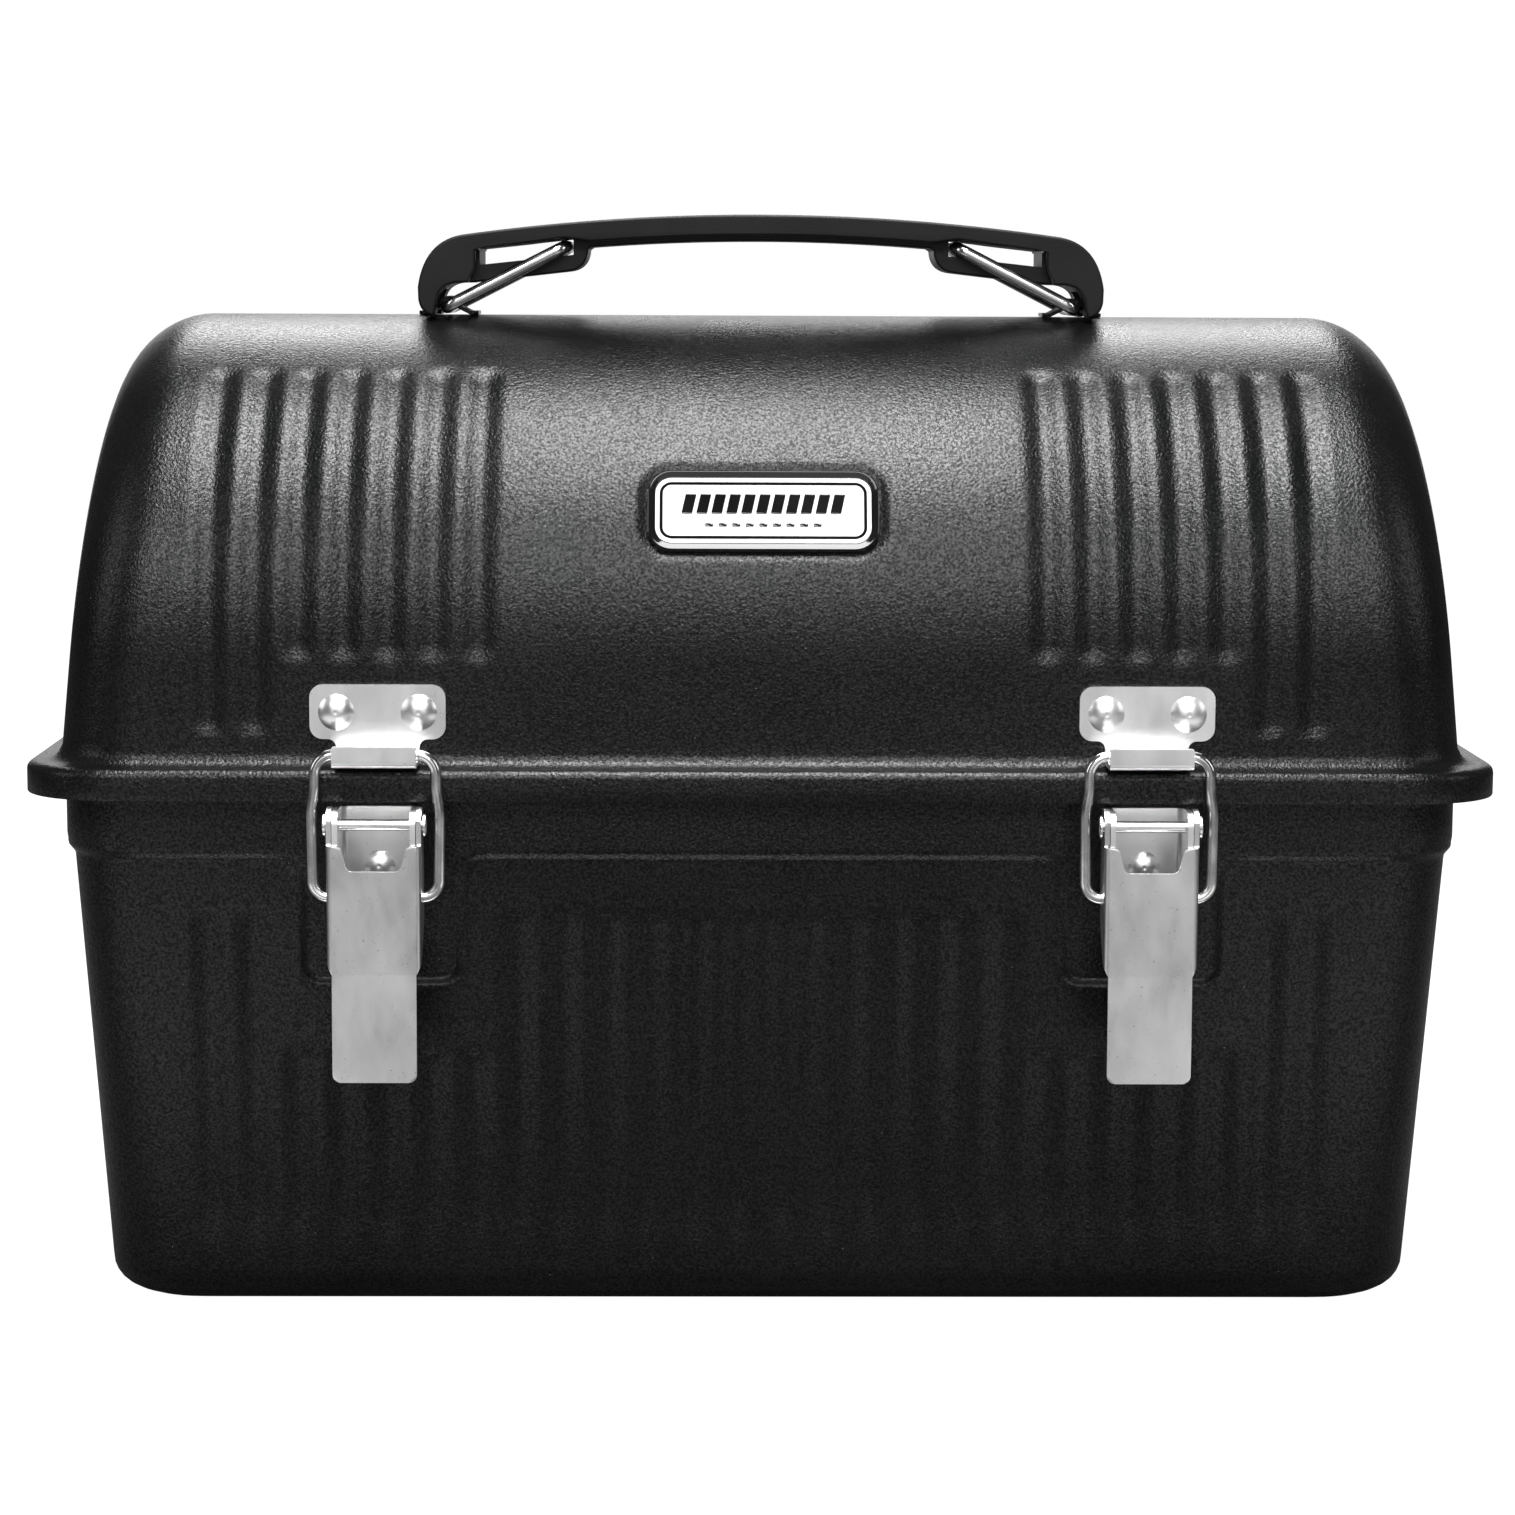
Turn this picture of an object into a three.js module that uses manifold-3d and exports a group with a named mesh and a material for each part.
// A steel lunch box with a barrel-shaped lid: a pan, a hinged lid, two draw latches and a
// handle that collapses onto the lid. Millimetres, +Z up. The front, with the latches, faces -Y.
// The origin is the centre of the pan's underside.

import * as THREE from 'three';
import { mergeVertices } from 'three/addons/utils/BufferGeometryUtils.js';
import Module from 'manifold-3d';

const wasm = await Module();
wasm.setup();

// ---------------------------------------------------------------- driving dimensions

const gap = 0.3; // between pieces that touch
const sheet = 0.8; // thickness of the pan and the lid
const slope = 0.0628; // how far the pan's walls lean out for each millimetre up

// The rim of the lid is the largest outline, and the lid's wall stands inside it.
const rim = { halfX: 165, halfY: 82.5, corner: 21, bottom: 118.4, top: 125.3 };
const lid = { halfX: 157.9, halfY: 76.05, corner: 18, lean: 0.1, spring: 147.95 };
const lidTop = lid.spring + lid.halfY;

// The pan's wall has a band standing proud round its top and a pad under each latch.
const pan = { halfX: 149.3, halfY: 67.3, corner: 15, fillet: 9 };
const band = { halfX: 156.8, halfY: 74.6, corner: 16, step: 103.4, bottom: 105, top: 118.2 };
const pad = { halfWidth: 17.3, edge: 1.2, bottom: 76 };
const bead = { out: 4.1, z: 122.3, radius: 1.9 };

// One latch, measured from its own middle. The lever turns on a pin, and the loop's ends
// turn in the lever below that pin.
const latch = { x: 85 };
const plate = { thickness: 1.2, halfWidth: 15, bottom: 131.7, top: 143.7, corner: 2.9 };
const plateBack = lid.halfY + gap;
const hook = { halfWidth: 9.2, lipOut: 88, lipTop: 131.2, floor: 127.5 };
const base = { back: band.halfY + gap, thickness: 1.2, halfWidth: 8.6, bottom: 80, top: 116.6 };
const leverPin = { out: 86.2, z: 113.8, radius: 1.25, halfLength: 10.7 };
const lever = { out: 91.1, thickness: 1.1, halfWidth: 10.35, tongue: 9.25, top: 109.6, end: 57.4 };
const loop = { out: 84.4, bottom: 97.5, top: 129.05, halfWidth: 14.1, radius: 1.25, bend: 4.5 };

// Rivets: head, shank and the tail formed inside.
const rivet = { shank: 1.9, hole: 2.2, tail: 3, tailHeight: 1 };
const catchRivet = { head: 4, height: 1.6, x: 9.1, z: 137.6 };
const baseRivet = { head: 3.5, height: 1.4, z: [103.2, 87] };
const hingeRivet = { head: 3, height: 1.2, x: 15 };

// Cutting rods reach from near to far out from the middle of the box, or each way along it.
const cutter = { near: 60, far: 95, halfLength: 30 };

// Two hinges behind the rim.
const hinge = { x: 95, out: 85.3, z: 117, barrel: 2.3, pin: 1.1, halfWidth: 20, sheet: 1 };
const lidKnuckle = 7.6;
const panLeaf = { bottom: 105.8, top: 114.4, rivetZ: 110 };
const lidLeaf = { bottom: 131, top: 143, rivetZ: 137.4 };

// The handle slides up while a wire link at each end swings from lying to standing.
const handle = { top: 247.6, archRadius: 500, halfWidth: 16, coreHalfWidth: 12, lift: 18 };
const link = { foot: [73.9, 225.8], length: 31.31, radius: 1.5, legOut: 14, lying: 63, swing: 45 };
const slotHalfHeight = 1.9;
const clip = { halfWidth: 6, thickness: 0.9, reach: 7 };

// The badge: a border plate and, inside its border, a panel.
const badge = { angle: 27.1, halfWidth: 26.5, halfHeight: 9.8, corner: 6, border: 3, height: 1, panel: 0.5 };

// ---------------------------------------------------------------- materials

const blackPaint = new THREE.MeshStandardMaterial({ color: 0x1b1c1e, roughness: 0.55, metalness: 0.1 });
const platedSteel = new THREE.MeshStandardMaterial({ color: 0xc9cacb, roughness: 0.32, metalness: 1 });
const wireSteel = new THREE.MeshStandardMaterial({ color: 0xd6d7d8, roughness: 0.2, metalness: 1 });
const blackPlastic = new THREE.MeshStandardMaterial({ color: 0x232425, roughness: 0.5, metalness: 0 });
const badgeBlack = new THREE.MeshStandardMaterial({ color: 0x0b0b0c, roughness: 0.15, metalness: 0 });
const badgeWhite = new THREE.MeshStandardMaterial({ color: 0xe8e8e6, roughness: 0.25, metalness: 0 });

// ---------------------------------------------------------------- mesh helpers

const v3 = (x, y, z) => new THREE.Vector3(x, y, z);

// A closed mesh from loose triangles: corners are merged, triangles with no area are left
// out, and the faces are turned to point outwards.
function closedGeometry(triangles) {
  const loose = new THREE.BufferGeometry().setFromPoints(triangles);
  const merged = mergeVertices(loose, 1e-4);
  const p = merged.attributes.position;
  const index = [];
  let volume = 0;
  for (let i = 0; i < merged.index.count; i += 3) {
    const [a, b, c] = [0, 1, 2].map((k) => merged.index.getX(i + k));
    if (a === b || b === c || c === a) continue;
    index.push(a, b, c);
    const [pa, pb, pc] = [a, b, c].map((k) => new THREE.Vector3().fromBufferAttribute(p, k));
    volume += pa.dot(pb.cross(pc));
  }
  if (volume < 0) index.reverse();
  merged.setIndex(index);
  return merged;
}

// Two triangles for each step between two rows of points.
function strip(triangles, rowA, rowB, closed = false) {
  const count = closed ? rowA.length : rowA.length - 1;
  for (let i = 0; i < count; i += 1) {
    const j = (i + 1) % rowA.length;
    triangles.push(rowA[i], rowA[j], rowB[j], rowA[i], rowB[j], rowB[i]);
  }
}

// A flat cap over a ring of points, as a fan about its middle.
function cap(triangles, ring, reversed = false) {
  const middle = ring.reduce((sum, p) => sum.add(p), v3(0, 0, 0)).divideScalar(ring.length);
  ring.forEach((p, i) => {
    const next = ring[(i + 1) % ring.length];
    triangles.push(middle, ...(reversed ? [p, next] : [next, p]));
  });
}

function loft(rings) {
  const triangles = [];
  cap(triangles, rings[0]);
  for (let i = 1; i < rings.length; i += 1) strip(triangles, rings[i - 1], rings[i], true);
  cap(triangles, rings.at(-1), true);
  return closedGeometry(triangles);
}

function toSolid(geometry) {
  const bare = geometry.clone();
  bare.deleteAttribute('normal');
  bare.deleteAttribute('uv');
  const merged = mergeVertices(bare, 1e-4);
  const vertProperties = new Float32Array(merged.attributes.position.array);
  const triVerts = new Uint32Array(merged.index.array);
  return new wasm.Manifold(new wasm.Mesh({ numProp: 3, vertProperties, triVerts }));
}

function toGeometry(solid) {
  const mesh = solid.getMesh();
  const geometry = new THREE.BufferGeometry();
  geometry.setAttribute('position', new THREE.BufferAttribute(mesh.vertProperties, 3));
  geometry.setIndex(new THREE.BufferAttribute(mesh.triVerts, 1));
  return geometry;
}

function join(geometries, cuts = []) {
  let solid = toSolid(geometries[0]);
  for (const geometry of geometries.slice(1)) solid = solid.add(toSolid(geometry));
  for (const cut of cuts) solid = solid.subtract(toSolid(cut));
  return toGeometry(solid);
}

// An outline through corners [x, y, radius], each rounded by its own radius.
function roundedShape(corners) {
  const shape = new THREE.Shape();
  corners.forEach(([x, y, radius = 0], i) => {
    const here = new THREE.Vector2(x, y);
    const [before, after] = [corners.at(i - 1), corners[(i + 1) % corners.length]].map(([px, py]) =>
      new THREE.Vector2(px, py).sub(here).setLength(radius).add(here));
    if (i === 0) shape.moveTo(before.x, before.y);
    else shape.lineTo(before.x, before.y);
    if (radius > 0) shape.quadraticCurveTo(x, y, after.x, after.y);
  });
  return shape;
}

function extrude(shape, depth, curveSegments = 3) {
  return new THREE.ExtrudeGeometry(shape, { depth, bevelEnabled: false, curveSegments });
}

// An outline in (distance out from the middle, height), extruded across the box from x0 to x1.
// side is -1 for a piece on the front and +1 for one on the back.
function sideways(shape, x0, x1, side = -1) {
  const geometry = extrude(shape, x1 - x0);
  const axes = [v3(0, side, 0), v3(0, 0, 1), v3(side, 0, 0)];
  geometry.applyMatrix4(new THREE.Matrix4().makeBasis(...axes));
  return geometry.translate(side < 0 ? x1 : x0, 0, 0);
}

// An outline in (x, height) facing out, from `near` to `far` out from the middle of the box.
function facing(shape, near, far, side = -1) {
  const geometry = extrude(shape, far - near);
  const axes = [v3(-side, 0, 0), v3(0, 0, 1), v3(0, side, 0)];
  geometry.applyMatrix4(new THREE.Matrix4().makeBasis(...axes));
  return geometry.translate(0, side * near, 0);
}

function rectangle(halfWidth, bottom, top, corner = 0) {
  return roundedShape([
    [-halfWidth, bottom, corner],
    [halfWidth, bottom, corner],
    [halfWidth, top, corner],
    [-halfWidth, top, corner],
  ]);
}

// A rod along X or Y, from `from` to `to`.
function rodX(from, to, radius, out, z, side = -1, sides = 12) {
  const rod = new THREE.CylinderGeometry(radius, radius, to - from, sides);
  return rod.rotateZ(Math.PI / 2).translate((from + to) / 2, side * out, z);
}

function rodY(from, to, radius, x, z, side = -1, sides = 12) {
  const rod = new THREE.CylinderGeometry(radius, radius, to - from, sides);
  return rod.translate(x, side * ((from + to) / 2), z);
}

// A cutter for a pin's bore along X.
function boreX(radius, out, z, side = -1) {
  return rodX(-cutter.halfLength, cutter.halfLength, radius + gap, out, z, side);
}

// Cutters for rivet holes at [x, height] spots on the front (-1) or the back (+1).
function rivetHoles(side, spots) {
  return spots.map(([x, z]) => rodY(cutter.near, cutter.far, rivet.hole, x, z, side));
}

// Round wire along flat points in one plane, whose normal is given. A closed wire is a ring.
function wire(points, normal, radius, closed, sides = 8) {
  const rings = points.map((point, i) => {
    const before = closed ? points.at(i - 1) : points[Math.max(i - 1, 0)];
    const after = closed ? points[(i + 1) % points.length] : points[Math.min(i + 1, points.length - 1)];
    const along = after.clone().sub(before).normalize();
    const across = new THREE.Vector3().crossVectors(along, normal);
    return Array.from({ length: sides }, (_, k) => {
      const turn = (2 * Math.PI * k) / sides;
      const offset = across.clone().multiplyScalar(Math.cos(turn) * radius);
      return offset.addScaledVector(normal, Math.sin(turn) * radius).add(point);
    });
  });
  if (!closed) return loft(rings);
  const triangles = [];
  rings.forEach((ring, i) => strip(triangles, ring, rings[(i + 1) % rings.length], true));
  return closedGeometry(triangles);
}

// Points along a path whose corners are rounded: [u, v, radius] each, in a plane.
function bentPath(corners, steps = 3) {
  const points = [];
  corners.forEach(([u, v, radius = 0], i) => {
    const here = new THREE.Vector2(u, v);
    if (radius === 0) {
      points.push(here);
      return;
    }
    const near = [corners.at(i - 1), corners[(i + 1) % corners.length]].map(([pu, pv]) =>
      new THREE.Vector2(pu, pv).sub(here).normalize());
    const half = near[0].angleTo(near[1]) / 2;
    const middle = near[0].clone().add(near[1]).setLength(radius / Math.sin(half)).add(here);
    const start = near[0].clone().multiplyScalar(radius / Math.tan(half)).add(here).sub(middle);
    const end = near[1].clone().multiplyScalar(radius / Math.tan(half)).add(here).sub(middle);
    const turn = Math.atan2(start.cross(end), start.dot(end));
    for (let k = 0; k <= steps; k += 1) {
      points.push(start.clone().rotateAround(new THREE.Vector2(), (turn * k) / steps).add(middle));
    }
  });
  return points;
}

const group = new THREE.Group();

function add(name, geometry, material, x = 0) {
  const mesh = new THREE.Mesh(geometry, material);
  mesh.name = name;
  mesh.position.x = x;
  group.add(mesh);
  return mesh;
}

const sides = [['left', -1], ['right', 1]];

// ---------------------------------------------------------------- pan

const cornerSteps = 4;

// The pan's outline at one height. `out` pushes the wall out, and `padOut` the latch pads.
function panRing({ halfX, halfY, corner, z, out = 0, padOut = 0 }) {
  const [a, b] = [halfX + out, halfY + out];
  const radius = Math.max(corner + out, 1);
  const edges = [pad.halfWidth, pad.halfWidth + pad.edge];
  const near = [latch.x - edges[1], latch.x - edges[0], latch.x + edges[0], latch.x + edges[1]];
  const along = [...near.map((x) => -x).reverse(), 0, ...near];
  const onPad = (x) => Math.abs(Math.abs(x) - latch.x) <= pad.halfWidth + 1e-6;
  const ring = [];
  const arc = (cx, cy, from) => {
    for (let k = 0; k <= cornerSteps; k += 1) {
      const turn = from + (Math.PI / 2) * (k / cornerSteps);
      ring.push(v3(cx + radius * Math.cos(turn), cy + radius * Math.sin(turn), z));
    }
  };
  arc(-(a - radius), -(b - radius), Math.PI);
  along.forEach((x) => ring.push(v3(x, -b - (onPad(x) ? padOut : 0), z)));
  arc(a - radius, -(b - radius), -Math.PI / 2);
  ring.push(v3(a, 0, z));
  arc(a - radius, b - radius, 0);
  [...along].reverse().forEach((x) => ring.push(v3(x, b, z)));
  arc(-(a - radius), b - radius, Math.PI / 2);
  ring.push(v3(-a, 0, z));
  return ring;
}

// The wall between the bottom fillet and the band, at height z.
function wallAt(z, out = 0) {
  const grow = slope * (z - pan.fillet);
  return { halfX: pan.halfX + grow, halfY: pan.halfY + grow, corner: pan.corner, z, out };
}

function bandAt(z, out = 0) {
  return { halfX: band.halfX, halfY: band.halfY, corner: band.corner, z, out };
}

// One skin of the pan from the middle of the floor to the band, `inside` in from the outside.
function panSkin(inside) {
  const rings = [];
  for (let k = 0; k <= 3; k += 1) {
    const turn = (Math.PI / 2) * (k / 3);
    const radius = pan.fillet - inside;
    const z = pan.fillet - radius * Math.cos(turn);
    rings.push(panRing({ ...wallAt(pan.fillet, -inside - radius * (1 - Math.sin(turn))), z }));
  }
  const proud = (z) => band.halfY - pan.halfY - slope * (z - pan.fillet);
  rings.push(panRing(wallAt(pad.bottom - 2, -inside)));
  rings.push(panRing({ ...wallAt(pad.bottom, -inside), padOut: proud(pad.bottom) }));
  rings.push(panRing({ ...wallAt(band.step, -inside), padOut: proud(band.step) }));
  rings.push(panRing(bandAt(band.bottom, -inside)));
  rings.push(panRing(bandAt(band.top, -inside)));
  return rings;
}

function panShell() {
  const beadAt = (degrees) => {
    const turn = THREE.MathUtils.degToRad(degrees);
    const out = bead.out + bead.radius * Math.cos(turn);
    return panRing(bandAt(bead.z + bead.radius * Math.sin(turn), out));
  };
  const edge = [
    panRing(bandAt(band.top + 1.6, 1.2)),
    ...[-90, -40, 0, 40, 90, 150].map(beadAt),
    panRing(bandAt(band.top + 1.9, -sheet)),
  ];
  const shell = loft([...panSkin(0), ...edge, ...panSkin(sheet).reverse()]);
  const spots = sides.flatMap(([, s]) => baseRivet.z.map((z) => [s * latch.x, z]));
  const backSpots = sides.flatMap(([, s]) =>
    [-1, 1].map((t) => [s * hinge.x + t * hingeRivet.x, panLeaf.rivetZ]));
  return join([shell], [...rivetHoles(-1, spots), ...rivetHoles(1, backSpots)]);
}

// ---------------------------------------------------------------- lid

// Stations along the lid, from the middle of one end round the front to the other end's middle:
// along the flat end, round the corner, and along the front.
function lidStations() {
  const quarter = [
    ...[0, 0.25, 0.5, 0.75].map((share) => ({ share, turn: 0 })),
    ...[0, 1, 2, 3, 4].map((k) => ({ share: 1, turn: (Math.PI / 2) * (k / 4) })),
  ];
  const half = quarter.map((s) => ({ ...s, along: 1 }));
  const front = [0.66, 0.33].map((along) => ({ share: 1, turn: Math.PI / 2, along }));
  const left = [...half, ...front].map((s) => ({ ...s, sign: -1 }));
  const right = [...left].reverse().map((s) => ({ ...s, sign: 1 }));
  return [...left, { share: 1, turn: Math.PI / 2, along: 0, sign: 1 }, ...right];
}

const stations = lidStations();

// Half the depth of an outline at a station.
function halfDepth(station, { halfY, corner }) {
  return station.share * (halfY - corner) + corner * Math.sin(station.turn);
}

function alongX(station, { halfX, corner }) {
  return station.sign * ((halfX - corner) * station.along + corner * Math.cos(station.turn));
}

const archSteps = 16;
const legHeights = [rim.top + 2, plate.bottom, lid.spring];

// One skin of the lid: for each station an arch standing on two legs.
function lidSkin(inside, bottom) {
  const outline = (z) => ({
    halfX: lid.halfX - inside - lid.lean * (z - rim.top),
    halfY: lid.halfY - inside,
    corner: lid.corner - inside,
  });
  const heights = [bottom, ...legHeights.slice(1)];
  return stations.map((station) => {
    const reach = halfDepth(station, outline(rim.top));
    const point = (y, z) => v3(alongX(station, outline(z)), y, z);
    const leg = heights.map((z) => point(-reach, z));
    const arch = [];
    for (let k = 1; k < archSteps; k += 1) {
      const turn = (Math.PI * k) / archSteps;
      arch.push(point(-reach * Math.cos(turn), lid.spring + reach * Math.sin(turn)));
    }
    const back = heights.map((z) => point(reach, z)).reverse();
    return [...leg, ...arch, ...back];
  });
}

// A ring round the lid at `share` of the way from the wall out to the rim's outline.
function rimRing(share, z, inside = 0) {
  const mix = (key) => THREE.MathUtils.lerp(lid[key], rim[key], share) - inside;
  const outline = { halfX: mix('halfX'), halfY: mix('halfY'), corner: mix('corner') };
  const front = stations.map((s) => v3(alongX(s, outline), -halfDepth(s, outline), z));
  const back = front.slice(1, -1).map((p) => v3(p.x, -p.y, p.z)).reverse();
  return [...front, ...back];
}

function lidShell() {
  const triangles = [];
  const outer = lidSkin(0, legHeights[0]);
  const inner = lidSkin(sheet, rim.top - sheet);
  for (let i = 1; i < outer.length; i += 1) {
    strip(triangles, outer[i], outer[i - 1]);
    strip(triangles, inner[i - 1], inner[i]);
  }
  const foot = (skin) => {
    const front = skin.map((row) => row[0]);
    const back = skin.slice(1, -1).map((row) => row.at(-1)).reverse();
    return [...front, ...back];
  };
  const rings = [
    foot(inner),
    rimRing(0.7, rim.top - sheet, sheet),
    rimRing(1, rim.top - 2.2, sheet),
    rimRing(1, rim.bottom, sheet),
    rimRing(1, rim.bottom),
    rimRing(1, rim.top - 2),
    rimRing(0.9, rim.top - 0.6),
    rimRing(0.7, rim.top),
    rimRing(0.3, rim.top),
    rimRing(0.09, rim.top + 0.6),
    foot(outer),
  ];
  for (let i = 1; i < rings.length; i += 1) strip(triangles, rings[i - 1], rings[i], true);
  const spots = sides.flatMap(([, s]) =>
    [-1, 1].map((t) => [s * latch.x + t * catchRivet.x, catchRivet.z]));
  const backSpots = sides.flatMap(([, s]) =>
    [-1, 1].map((t) => [s * hinge.x + t * hingeRivet.x, lidLeaf.rivetZ]));
  const holes = [...rivetHoles(-1, spots), ...rivetHoles(1, backSpots)];
  return join([closedGeometry(triangles)], holes);
}

// ---------------------------------------------------------------- rivets

// A rivet through a plate and a wall: `face` is the plate's outer face and `wall` the wall's
// outer face, both measured out from the middle of the box.
function rivetBody(style, face, wall, x, z, side) {
  const headBase = face + gap;
  const tailFace = wall - sheet - gap;
  const dome = [0, 35, 65].map((degrees) => {
    const turn = THREE.MathUtils.degToRad(degrees);
    return new THREE.Vector2(style.head * Math.cos(turn), headBase + style.height * Math.sin(turn));
  });
  const profile = [
    new THREE.Vector2(0, tailFace - rivet.tailHeight),
    new THREE.Vector2(rivet.tail, tailFace - rivet.tailHeight),
    new THREE.Vector2(rivet.tail, tailFace),
    new THREE.Vector2(rivet.shank, tailFace),
    new THREE.Vector2(rivet.shank, headBase),
    ...dome,
    new THREE.Vector2(0, headBase + style.height),
  ];
  const body = new THREE.LatheGeometry(profile, 10);
  if (side < 0) body.rotateZ(Math.PI);
  return body.translate(x, 0, z);
}

// ---------------------------------------------------------------- latch

function catchPlate() {
  const flat = facing(
    rectangle(plate.halfWidth, plate.bottom, plate.top, plate.corner),
    plateBack, plateBack + plate.thickness);
  const t = plate.thickness;
  const under = hook.floor - t;
  const profile = roundedShape([
    [plateBack, plate.bottom + 2],
    [plateBack, under, 1.6],
    [hook.lipOut, under, 1.6],
    [hook.lipOut, hook.lipTop, 0.3],
    [hook.lipOut - t, hook.lipTop, 0.3],
    [hook.lipOut - t, hook.floor, 0.6],
    [plateBack + t, hook.floor, 0.6],
    [plateBack + t, plate.bottom + 2],
  ]);
  const trough = sideways(profile, -hook.halfWidth, hook.halfWidth);
  const holes = rivetHoles(-1, [-1, 1].map((s) => [s * catchRivet.x, catchRivet.z]));
  return join([flat, trough], holes);
}

function latchBase() {
  const { back, thickness, halfWidth, bottom, top } = base;
  const flat = facing(rectangle(halfWidth, bottom, top, 1), back, back + thickness);
  const r = 3.8;
  const earFoot = 101;
  const ear = roundedShape([
    [back, earFoot],
    [back + thickness, earFoot],
    [leverPin.out + 0.8, leverPin.z - r - 0.6, 1.5],
    [leverPin.out + r, leverPin.z - r, 3],
    [leverPin.out + r, leverPin.z + r, 3],
    [back, leverPin.z + r - 0.6, 1],
  ]);
  const ears = [-1, 1].map((s) => {
    const [x0, x1] = [s * halfWidth, s * (halfWidth - thickness)].sort((p, q) => p - q);
    return sideways(ear, x0, x1);
  });
  const bore = boreX(leverPin.radius, leverPin.out, leverPin.z);
  const holes = rivetHoles(-1, baseRivet.z.map((z) => [0, z]));
  return join([flat, ...ears], [bore, ...holes]);
}

function latchLever() {
  const { out, thickness, halfWidth, tongue, top, end } = lever;
  const notch = { half: 5.6, depth: 5.5 };
  const outline = roundedShape([
    [halfWidth, top],
    [halfWidth, 82.6],
    [tongue, 81.4],
    [tongue, end, 1.9],
    [-tongue, end, 1.9],
    [-tongue, 81.4],
    [-halfWidth, 82.6],
    [-halfWidth, top],
    [-notch.half - 1.2, top, 1],
    [-notch.half, top - notch.depth, 1.6],
    [notch.half, top - notch.depth, 1.6],
    [notch.half + 1.2, top, 1],
  ]);
  const face = facing(outline, out - thickness, out);
  const r = 4;
  const flangeBack = 81.8;
  const flange = roundedShape([
    [out - 0.3, top],
    [out - 1.2, top + 0.6, 0.5],
    [leverPin.out + r, leverPin.z + r, 3],
    [leverPin.out - r, leverPin.z + r, 3],
    [leverPin.out - r, leverPin.z - 4, 1],
    [flangeBack, 106, 1],
    [flangeBack, 93.4, 1.5],
    [out - 0.3, 82.6],
  ]);
  const flanges = [-1, 1].map((s) => {
    const [x0, x1] = [s * halfWidth, s * (halfWidth - thickness)].sort((p, q) => p - q);
    return sideways(flange, x0, x1);
  });
  const bores = [
    boreX(leverPin.radius, leverPin.out, leverPin.z),
    boreX(loop.radius, loop.out, loop.bottom),
  ];
  return join([face, ...flanges], bores);
}

function leverPinBody() {
  const head = { radius: 2.7, thickness: 0.7 };
  const { radius, halfLength } = leverPin;
  const half = halfLength + head.thickness;
  const profile = [
    [0, -half], [head.radius, -half], [head.radius, -halfLength], [radius, -halfLength],
    [radius, halfLength], [head.radius, halfLength], [head.radius, half], [0, half],
  ].map(([x, y]) => new THREE.Vector2(x, y));
  const body = new THREE.LatheGeometry(profile, 12);
  return body.rotateZ(Math.PI / 2).translate(0, -leverPin.out, leverPin.z);
}

function latchLoop() {
  const tip = lever.halfWidth - lever.thickness - gap;
  const { halfWidth, bottom, top, bend } = loop;
  const narrow = halfWidth - 0.6;
  const right = [
    [tip, bottom], [halfWidth, bottom, bend], [halfWidth, 118], [narrow, 121], [narrow, top, bend],
  ];
  const left = [...right].reverse().map(([x, z, r]) => [-x, z, r]);
  const path = bentPath([...right, ...left]).map((p) => v3(p.x, -loop.out, p.y));
  return wire(path, v3(0, 1, 0), loop.radius, false);
}

// ---------------------------------------------------------------- hinge

function panHingeLeaf() {
  const { out, z, barrel, halfWidth } = hinge;
  const back = band.halfY + gap;
  const flat = facing(rectangle(halfWidth, panLeaf.bottom, panLeaf.top, 1), back, back + hinge.sheet, 1);
  const arm = roundedShape([
    [back, panLeaf.top - 1.4],
    [out, z - barrel - 0.2],
    [out + 1.2, z - barrel + 0.6],
    [out - 1, z],
    [out - 2, z - barrel + 0.9],
    [back, panLeaf.top],
  ]);
  const pieces = [flat];
  for (const s of [-1, 1]) {
    const [x0, x1] = [s * halfWidth, s * (lidKnuckle + 0.4)].sort((p, q) => p - q);
    pieces.push(sideways(arm, x0, x1, 1), rodX(x0, x1, barrel, out, z, 1));
  }
  const holes = rivetHoles(1, [-1, 1].map((s) => [s * hingeRivet.x, panLeaf.rivetZ]));
  return join(pieces, [boreX(hinge.pin, out, z, 1), ...holes]);
}

function lidHingeLeaf() {
  const { out, z, barrel, halfWidth } = hinge;
  const t = hinge.sheet;
  const back = lid.halfY + gap;
  const over = rim.top + gap + 0.1;
  const behind = rim.halfY + gap + 0.1;
  const flat = facing(rectangle(halfWidth, lidLeaf.bottom, lidLeaf.top, 1), back, back + t, 1);
  const strap = roundedShape([
    [back, lidLeaf.bottom + 1],
    [back, over + 2.6, 0.6],
    [back + 2.6, over, 0.6],
    [behind, over, 0.3],
    [behind, z + 1, 0],
    [out, z + barrel - 0.2, 0],
    [behind + t, z + barrel + 1.5, 0],
    [behind + t, over + t, 0.8],
    [back + 2.9, over + t, 0.6],
    [back + t, over + 3.2, 0.6],
    [back + t, lidLeaf.bottom + 1],
  ]);
  const pieces = [
    flat,
    sideways(strap, -lidKnuckle, lidKnuckle, 1),
    rodX(-lidKnuckle, lidKnuckle, barrel, out, z, 1),
  ];
  const holes = rivetHoles(1, [-1, 1].map((s) => [s * hingeRivet.x, lidLeaf.rivetZ]));
  return join(pieces, [boreX(hinge.pin, out, z, 1), ...holes]);
}

// ---------------------------------------------------------------- handle

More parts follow.
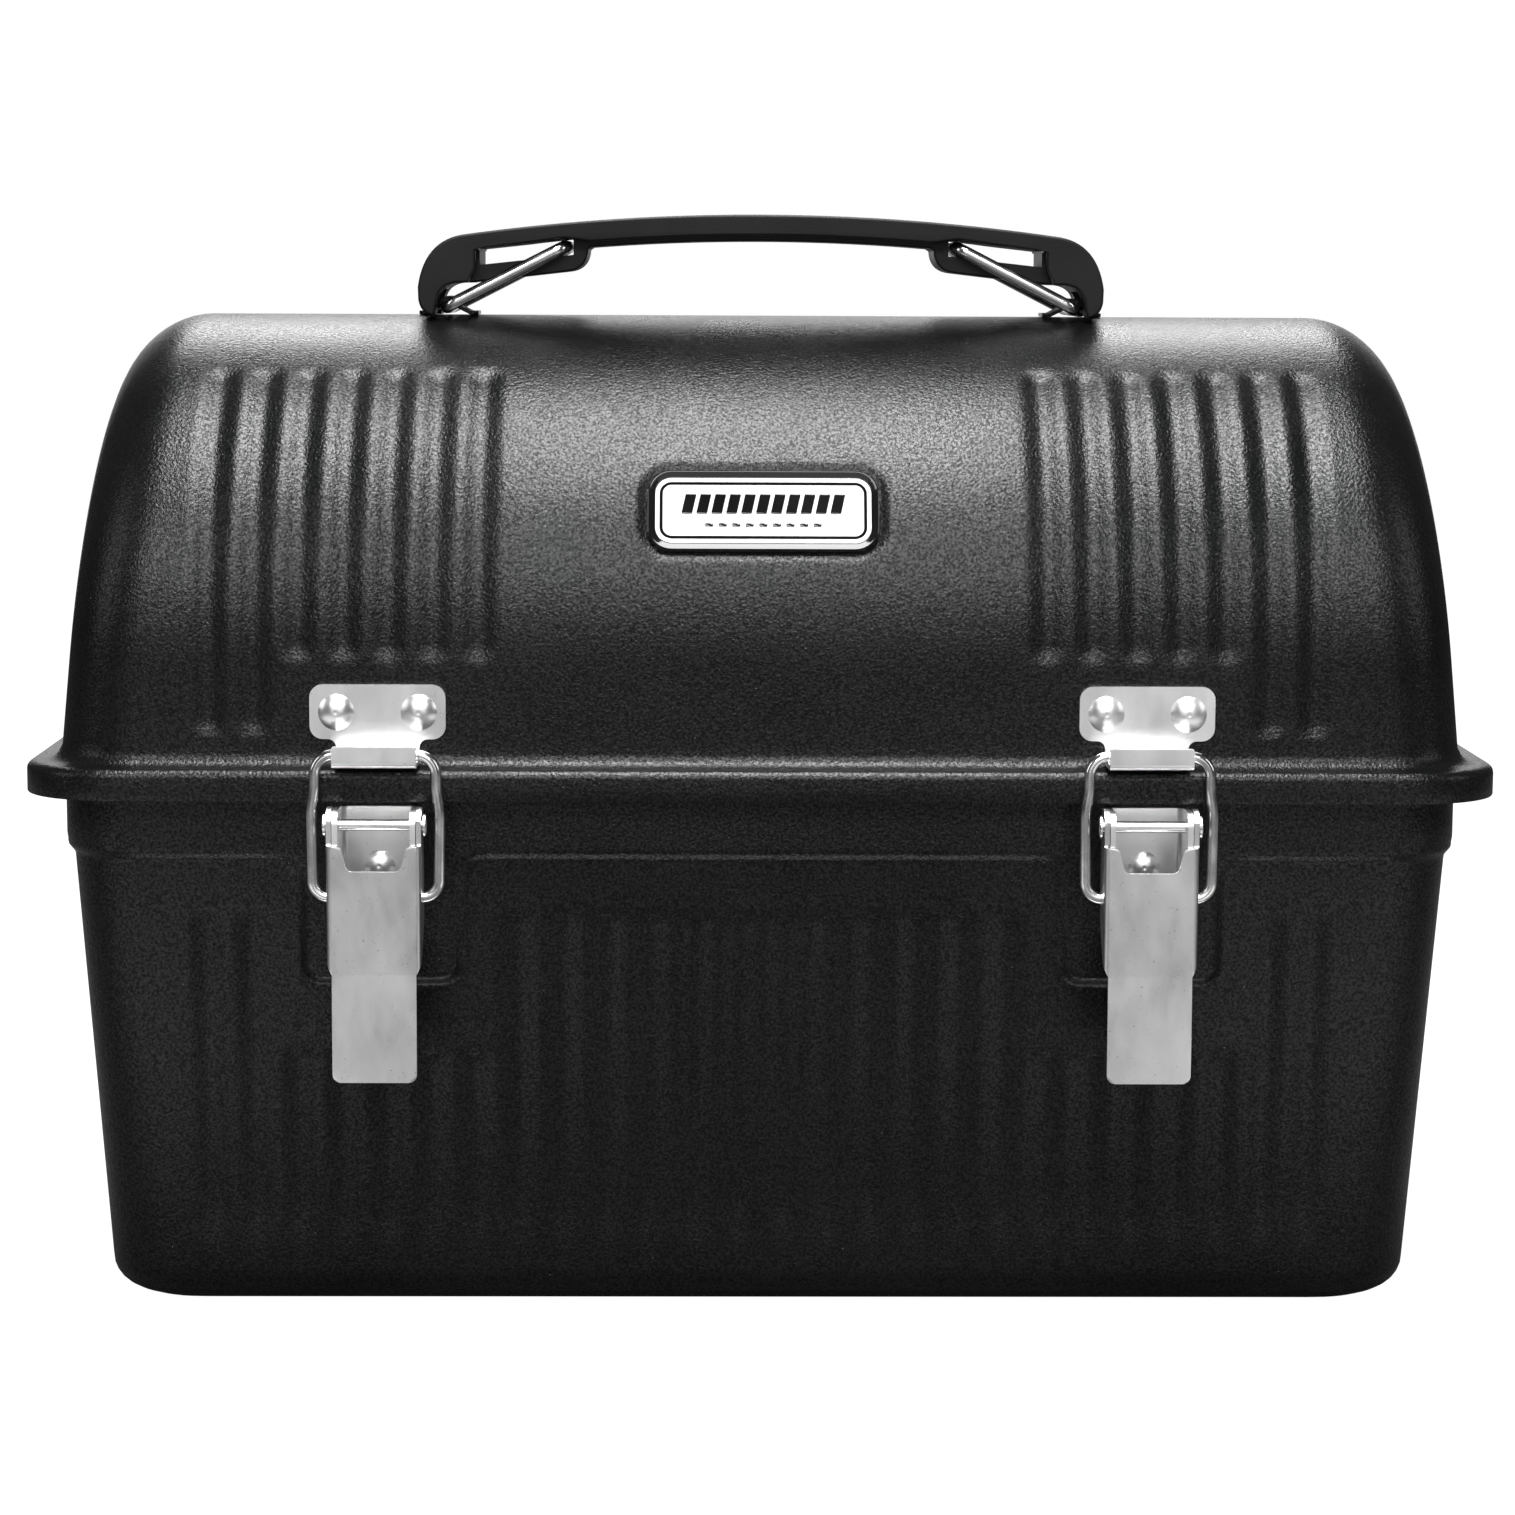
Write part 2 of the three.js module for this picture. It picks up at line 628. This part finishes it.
// Where a link's upper bar lies, as seen from the handle, when the handle has risen by
// `share` of its travel. The slots in the handle follow this line.
function barInHandle(share) {
  const lean = THREE.MathUtils.degToRad(link.lying - share * link.swing);
  const x = link.foot[0] - link.length * Math.sin(lean);
  const z = link.foot[1] + link.length * Math.cos(lean) - share * handle.lift;
  return new THREE.Vector2(x, z);
}

function archAt(x, drop) {
  const radius = handle.archRadius;
  return handle.top - drop - radius + Math.sqrt(radius * radius - x * x);
}

function bezier(points, steps) {
  const [a, b, c] = points.map(([x, y]) => new THREE.Vector2(x, y));
  return new THREE.QuadraticBezierCurve(a, b, c).getPoints(steps);
}

const gripEnd = { shoulder: 70, tip: 80.4, floor: lidTop - 0.05, under: 231.5, pocket: 66.9 };

// The right half of the grip's outline along the top and down round its end.
function gripTop() {
  const { shoulder, tip, floor } = gripEnd;
  return [
    ...[0, 14, 28, 42, 56].map((x) => new THREE.Vector2(x, archAt(x, 0))),
    ...bezier([[shoulder, archAt(shoulder, 0)], [tip - 1.5, 241], [tip, 230.5]], 6),
    ...bezier([[tip - 0.1, 227.5], [tip - 0.6, 224.6], [tip - 2.8, floor]], 3),
  ];
}

// Mirrors a right half outline to a whole closed one.
function wholeShape(half) {
  const left = half.filter((p) => p.x > 1e-6).map((p) => new THREE.Vector2(-p.x, p.y));
  return new THREE.Shape([...half, ...left.reverse()]);
}

function handleGrip() {
  const { pocket, under, floor } = gripEnd;
  const aboveBar = (share) => barInHandle(share).add(new THREE.Vector2(0, slotHalfHeight));
  const topOfSlot = [1, 0.75, 0.5, 0.25, 0].map(aboveBar);
  const endUnder = [
    new THREE.Vector2(76.6, floor),
    ...bezier([[76.1, 226.5], [75.9, 231.2], [70.8, under]], 4),
    new THREE.Vector2(pocket + 1.7, under),
    new THREE.Vector2(pocket, under + 3.7),
  ];
  const face = wholeShape([
    ...gripTop(),
    ...endUnder,
    new THREE.Vector2(pocket, topOfSlot[0].y - 0.6),
    ...topOfSlot,
    ...[28, 14, 0].map((x) => new THREE.Vector2(x, archAt(x, 4.9))),
  ]);
  const core = wholeShape([
    ...gripTop(),
    ...endUnder.slice(0, -1),
    ...bezier([[44, 234.4], [40.8, 234.8], [40.6, 239]], 3),
    ...[39.6, 28, 14, 0].map((x) => new THREE.Vector2(x, archAt(x, 6.1))),
  ]);
  const slots = sides.map(([, s]) => {
    const middle = [0, 0.2, 0.4, 0.6, 0.8, 1].map(barInHandle);
    const [first, last] = [middle[0], middle.at(-1)];
    const upper = middle.map((p) => [p.x, p.y + slotHalfHeight]);
    const lower = [...middle].reverse().map((p) => [p.x, p.y - slotHalfHeight]);
    const outline = [
      [first.x - slotHalfHeight, first.y - slotHalfHeight + 0.2],
      [first.x - slotHalfHeight, first.y + slotHalfHeight - 0.2],
      ...upper,
      [last.x + slotHalfHeight, last.y + slotHalfHeight - 0.8],
      [last.x + slotHalfHeight, last.y - slotHalfHeight],
      ...lower,
    ];
    return new THREE.Shape(outline.map(([x, z]) => new THREE.Vector2(s * x, z)));
  });
  const throughY = (shape, half) => facing(shape, -half, half);
  const notch = { x: 80, width: 12, half: clip.halfWidth + 1.5, bottom: 220, top: 230 };
  const notches = sides.map(([, s]) => {
    const box = new THREE.BoxGeometry(notch.width, 2 * notch.half, notch.top - notch.bottom);
    return box.translate(s * notch.x, 0, (notch.top + notch.bottom) / 2);
  });
  return join(
    [throughY(face, handle.halfWidth), throughY(core, handle.coreHalfWidth)],
    [...slots.map((shape) => throughY(shape, cutter.halfLength)), ...notches]);
}

// A closed ring of wire, lying from its foot on the lid to the slot in the handle.
function handleLink(side) {
  const lean = THREE.MathUtils.degToRad(link.lying);
  const along = v3(-side * Math.sin(lean), 0, Math.cos(lean));
  const normal = v3(Math.cos(lean), 0, side * Math.sin(lean));
  const foot = v3(side * link.foot[0], 0, link.foot[1]);
  const corners = [
    [-link.legOut, 0, 2.6], [link.legOut, 0, 2.6],
    [link.legOut, link.length, 2.6], [-link.legOut, link.length, 2.6],
  ];
  const path = bentPath(corners).map((p) =>
    v3(0, p.x, 0).addScaledVector(along, p.y).add(foot));
  return wire(path, normal, link.radius, true);
}

// A strap bent over the link's foot, its two legs splayed to the lid.
function handleClip(side) {
  const [x, z] = link.foot;
  const inner = link.radius + gap;
  const outer = inner + clip.thickness;
  const floor = lidTop + gap;
  const arc = (radius, from, to, steps) => Array.from({ length: steps + 1 }, (_, k) => {
    const turn = THREE.MathUtils.degToRad(from + ((to - from) * k) / steps);
    return new THREE.Vector2(x + radius * Math.cos(turn), z + radius * Math.sin(turn));
  });
  const t = clip.thickness;
  const outline = [
    new THREE.Vector2(x + clip.reach, floor),
    new THREE.Vector2(x + clip.reach, floor + t),
    new THREE.Vector2(x + clip.reach - 1.4, floor + t),
    ...arc(outer, 25, 155, 6),
    new THREE.Vector2(x - clip.reach + 1.4, floor + t),
    new THREE.Vector2(x - clip.reach, floor + t),
    new THREE.Vector2(x - clip.reach, floor),
    new THREE.Vector2(x - clip.reach + 1.8, floor),
    ...arc(inner, 168, 12, 6),
    new THREE.Vector2(x + clip.reach - 1.8, floor),
  ];
  const shape = new THREE.Shape(outline.map((p) => new THREE.Vector2(side * p.x, p.y)));
  return facing(shape, -clip.halfWidth, clip.halfWidth);
}

// ---------------------------------------------------------------- badge

// A plate on the front slope of the lid, `low` to `high` above the dome.
function badgePiece(inset, low, high) {
  const { halfWidth, halfHeight, corner, angle } = badge;
  const outline = rectangle(halfWidth - inset, inset - halfHeight, halfHeight - inset, corner - inset);
  const piece = facing(outline, lid.halfY + low, lid.halfY + high);
  return piece.rotateX(-THREE.MathUtils.degToRad(angle)).translate(0, 0, lid.spring);
}

// ---------------------------------------------------------------- assembly

add('body_shell', panShell(), blackPaint);
add('lid_shell', lidShell(), blackPaint);
const badgeFace = gap + badge.height;
add('badge_frame', badgePiece(0, gap, badgeFace), badgeBlack);
add('badge_panel', badgePiece(badge.border, badgeFace + gap, badgeFace + gap + badge.panel), badgeWhite);
add('handle_grip', handleGrip(), blackPlastic);

for (const [name, side] of sides) {
  const x = side * latch.x;
  const plateFace = plateBack + plate.thickness;
  const baseFace = base.back + base.thickness;
  add(`handle_link_${name}`, handleLink(side), wireSteel);
  add(`handle_clip_${name}`, handleClip(side), blackPaint);
  add(`catch_plate_${name}`, catchPlate(), platedSteel, x);
  add(`latch_base_${name}`, latchBase(), platedSteel, x);
  add(`latch_lever_${name}`, latchLever(), platedSteel, x);
  add(`lever_pin_${name}`, leverPinBody(), wireSteel, x);
  add(`latch_loop_${name}`, latchLoop(), wireSteel, x);
  for (const [place, t] of [['inner', -side], ['outer', side]]) {
    const spot = t * catchRivet.x;
    const body = rivetBody(catchRivet, plateFace, lid.halfY, spot, catchRivet.z, -1);
    add(`catch_rivet_${name}_${place}`, body, platedSteel, x);
  }
  baseRivet.z.forEach((z, i) => {
    const body = rivetBody(baseRivet, baseFace, band.halfY, 0, z, -1);
    add(`base_rivet_${name}_${['upper', 'lower'][i]}`, body, platedSteel, x);
  });

  const hingeX = side * hinge.x;
  const pin = rodX(-hinge.halfWidth - 0.5, hinge.halfWidth + 0.5, hinge.pin, hinge.out, hinge.z, 1);
  add(`hinge_body_leaf_${name}`, panHingeLeaf(), platedSteel, hingeX);
  add(`hinge_lid_leaf_${name}`, lidHingeLeaf(), platedSteel, hingeX);
  add(`hinge_pin_${name}`, pin, wireSteel, hingeX);
  for (const [place, t] of [['inner', -side], ['outer', side]]) {
    const spot = t * hingeRivet.x;
    const leaf = gap + hinge.sheet;
    const onBody = rivetBody(hingeRivet, band.halfY + leaf, band.halfY, spot, panLeaf.rivetZ, 1);
    const onLid = rivetBody(hingeRivet, lid.halfY + leaf, lid.halfY, spot, lidLeaf.rivetZ, 1);
    add(`hinge_body_rivet_${name}_${place}`, onBody, platedSteel, hingeX);
    add(`hinge_lid_rivet_${name}_${place}`, onLid, platedSteel, hingeX);
  }
}

export default group;
